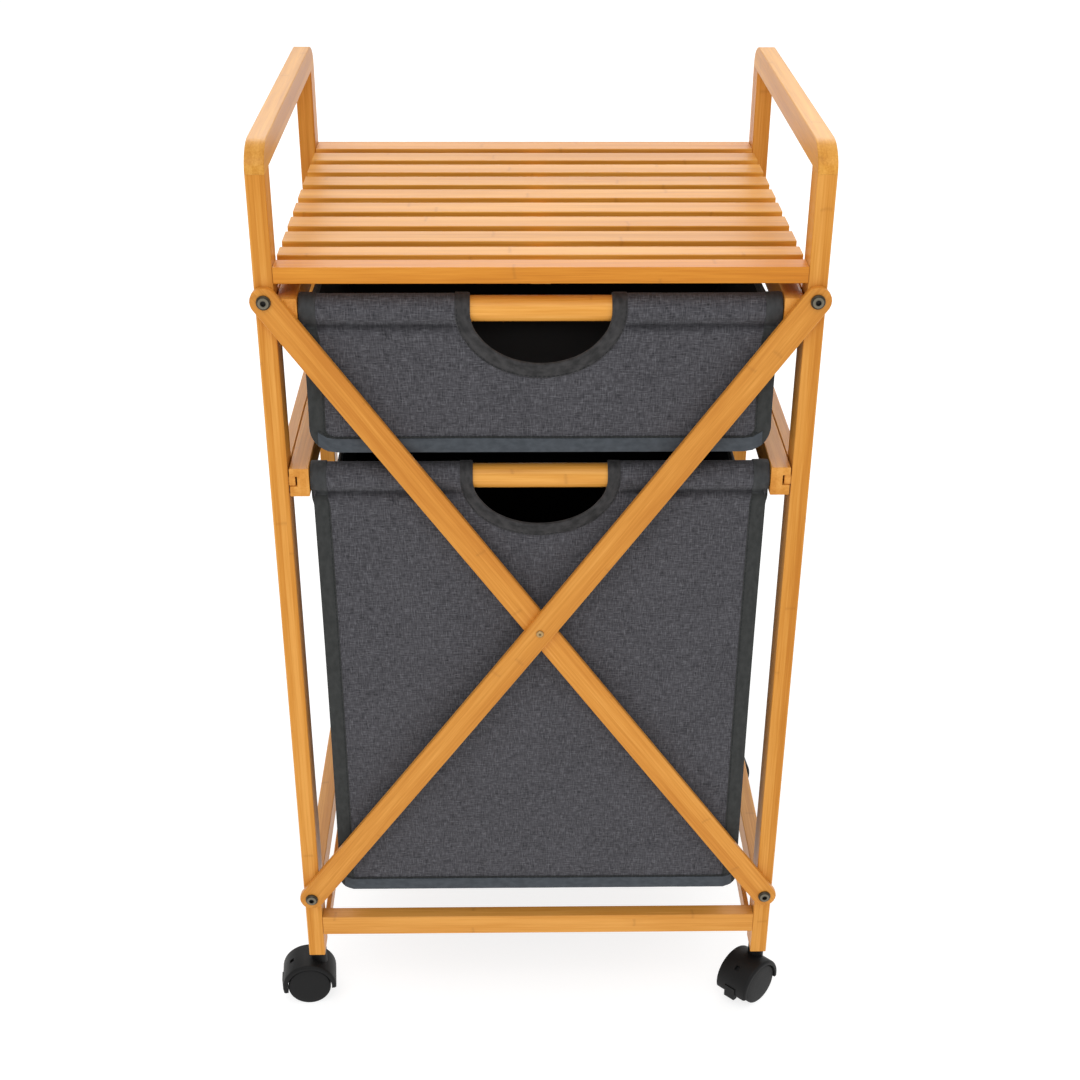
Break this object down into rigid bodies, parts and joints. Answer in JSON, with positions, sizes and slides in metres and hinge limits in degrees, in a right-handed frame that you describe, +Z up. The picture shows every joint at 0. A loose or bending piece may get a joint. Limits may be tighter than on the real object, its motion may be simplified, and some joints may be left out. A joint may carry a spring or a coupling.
{
  "type": "laundry sorter",
  "caption": "Bamboo laundry sorter on wheels: a tall slim frame with a slatted shelf, handle bars, crossed braces and pull-out fabric bags hung from dowels.",
  "frame": {"origin": "on the floor under the middle of the frame", "axes": "+Z up; -Y is the side with the crossed braces; +Y is the side that the drawers pull out of; +X is to the right as seen from the braced side"},
  "size_m": [0.5006, 0.435, 0.8205],
  "materials": {
    "bamboo": "satin, clear coated",
    "bag_fabric": "matt woven polyester, dark grey",
    "black_plastic": "satin black",
    "steel": "plain zinc-plated"
  },
  "bodies": {
    "frame": {"bottom_rail_front": "bamboo", "bottom_rail_rear": "bamboo", "brace_back": "bamboo", "brace_bolt_lower_left": "steel", "brace_bolt_lower_right": "steel", "brace_bolt_upper_left": "steel", "brace_bolt_upper_right": "steel", "brace_front": "bamboo", "brace_screw": "steel", "caster_stem_front_left": "steel", "caster_stem_front_right": "steel", "caster_stem_rear_left": "steel", "caster_stem_rear_right": "steel", "handle_left": "bamboo", "handle_right": "bamboo", "leg_front_left": "bamboo", "leg_front_right": "bamboo", "leg_rear_left": "bamboo", "leg_rear_right": "bamboo", "lower_batten_left": "bamboo", "lower_batten_right": "bamboo", "runner_lower_left": "bamboo", "runner_lower_right": "bamboo", "runner_upper_left": "bamboo", "runner_upper_right": "bamboo", "shelf_front_rail": "bamboo", "shelf_rear_rail": "bamboo", "shelf_slat_1": "bamboo", "shelf_slat_2": "bamboo", "shelf_slat_3": "bamboo", "shelf_slat_4": "bamboo", "shelf_slat_5": "bamboo", "shelf_slat_6": "bamboo", "shelf_slat_7": "bamboo", "shelf_slat_8": "bamboo", "shelf_support_left": "bamboo", "shelf_support_middle": "bamboo", "shelf_support_right": "bamboo", "side_stretcher_left": "bamboo", "side_stretcher_right": "bamboo"},
    "brake_front_left": {"brake_lever_front_left": "black_plastic"},
    "brake_front_right": {"brake_lever_front_right": "black_plastic"},
    "swivel_front_left": {"caster_hood_front_left": "black_plastic"},
    "swivel_front_right": {"caster_hood_front_right": "black_plastic"},
    "swivel_rear_left": {"caster_hood_rear_left": "black_plastic"},
    "swivel_rear_right": {"caster_hood_rear_right": "black_plastic"},
    "lower_drawer": {"lower_bag": "bag_fabric", "lower_drawer_dowel_front": "bamboo", "lower_drawer_dowel_rear": "bamboo", "lower_drawer_rail_left": "bamboo", "lower_drawer_rail_right": "bamboo"},
    "upper_drawer": {"upper_bag": "bag_fabric", "upper_drawer_dowel_front": "bamboo", "upper_drawer_dowel_rear": "bamboo", "upper_drawer_rail_left": "bamboo", "upper_drawer_rail_right": "bamboo"},
    "wheels_front_left": {"wheels_front_left": "black_plastic"},
    "wheels_front_right": {"wheels_front_right": "black_plastic"},
    "wheels_rear_left": {"wheels_rear_left": "black_plastic"},
    "wheels_rear_right": {"wheels_rear_right": "black_plastic"}
  },
  "joints": [
    {"name": "upper_drawer_slide", "type": "slide", "parent": "frame", "child": "upper_drawer", "axis": [0, 1, 0], "range_m": [0, 0.28]},
    {"name": "lower_drawer_slide", "type": "slide", "parent": "frame", "child": "lower_drawer", "axis": [0, 1, 0], "range_m": [0, 0.28]},
    {"name": "swivel_front_left_turn", "type": "hinge", "parent": "frame", "child": "swivel_front_left", "pos_m": [-0.2125, -0.18025, 0.045], "axis": [0, 0, 1], "continuous": true},
    {"name": "wheels_front_left_spin", "type": "hinge", "parent": "swivel_front_left", "child": "wheels_front_left", "pos_m": [-0.22326, -0.18119, 0.0205], "axis": [-0.0872, 0.9962, 0], "continuous": true},
    {"name": "brake_front_left_press", "type": "hinge", "parent": "swivel_front_left", "child": "brake_front_left", "pos_m": [-0.24697, -0.18327, 0.0225], "axis": [0.0872, -0.9962, 0], "range_deg": [0, 6]},
    {"name": "swivel_front_right_turn", "type": "hinge", "parent": "frame", "child": "swivel_front_right", "pos_m": [0.2125, -0.18025, 0.045], "axis": [0, 0, 1], "continuous": true},
    {"name": "wheels_front_right_spin", "type": "hinge", "parent": "swivel_front_right", "child": "wheels_front_right", "pos_m": [0.20473, -0.18775, 0.0205], "axis": [-0.6947, 0.7193, 0], "continuous": true},
    {"name": "brake_front_right_press", "type": "hinge", "parent": "swivel_front_right", "child": "brake_front_right", "pos_m": [0.18761, -0.20429, 0.0225], "axis": [0.6947, -0.7193, 0], "range_deg": [0, 6]},
    {"name": "swivel_rear_left_turn", "type": "hinge", "parent": "frame", "child": "swivel_rear_left", "pos_m": [-0.2125, 0.18025, 0.045], "axis": [0, 0, 1], "continuous": true},
    {"name": "wheels_rear_left_spin", "type": "hinge", "parent": "swivel_rear_left", "child": "wheels_rear_left", "pos_m": [-0.20473, 0.18775, 0.0205], "axis": [0.6947, -0.7193, 0], "continuous": true},
    {"name": "swivel_rear_right_turn", "type": "hinge", "parent": "frame", "child": "swivel_rear_right", "pos_m": [0.2125, 0.18025, 0.045], "axis": [0, 0, 1], "continuous": true},
    {"name": "wheels_rear_right_spin", "type": "hinge", "parent": "swivel_rear_right", "child": "wheels_rear_right", "pos_m": [0.22326, 0.18119, 0.0205], "axis": [0.0872, -0.9962, 0], "continuous": true}
  ]
}
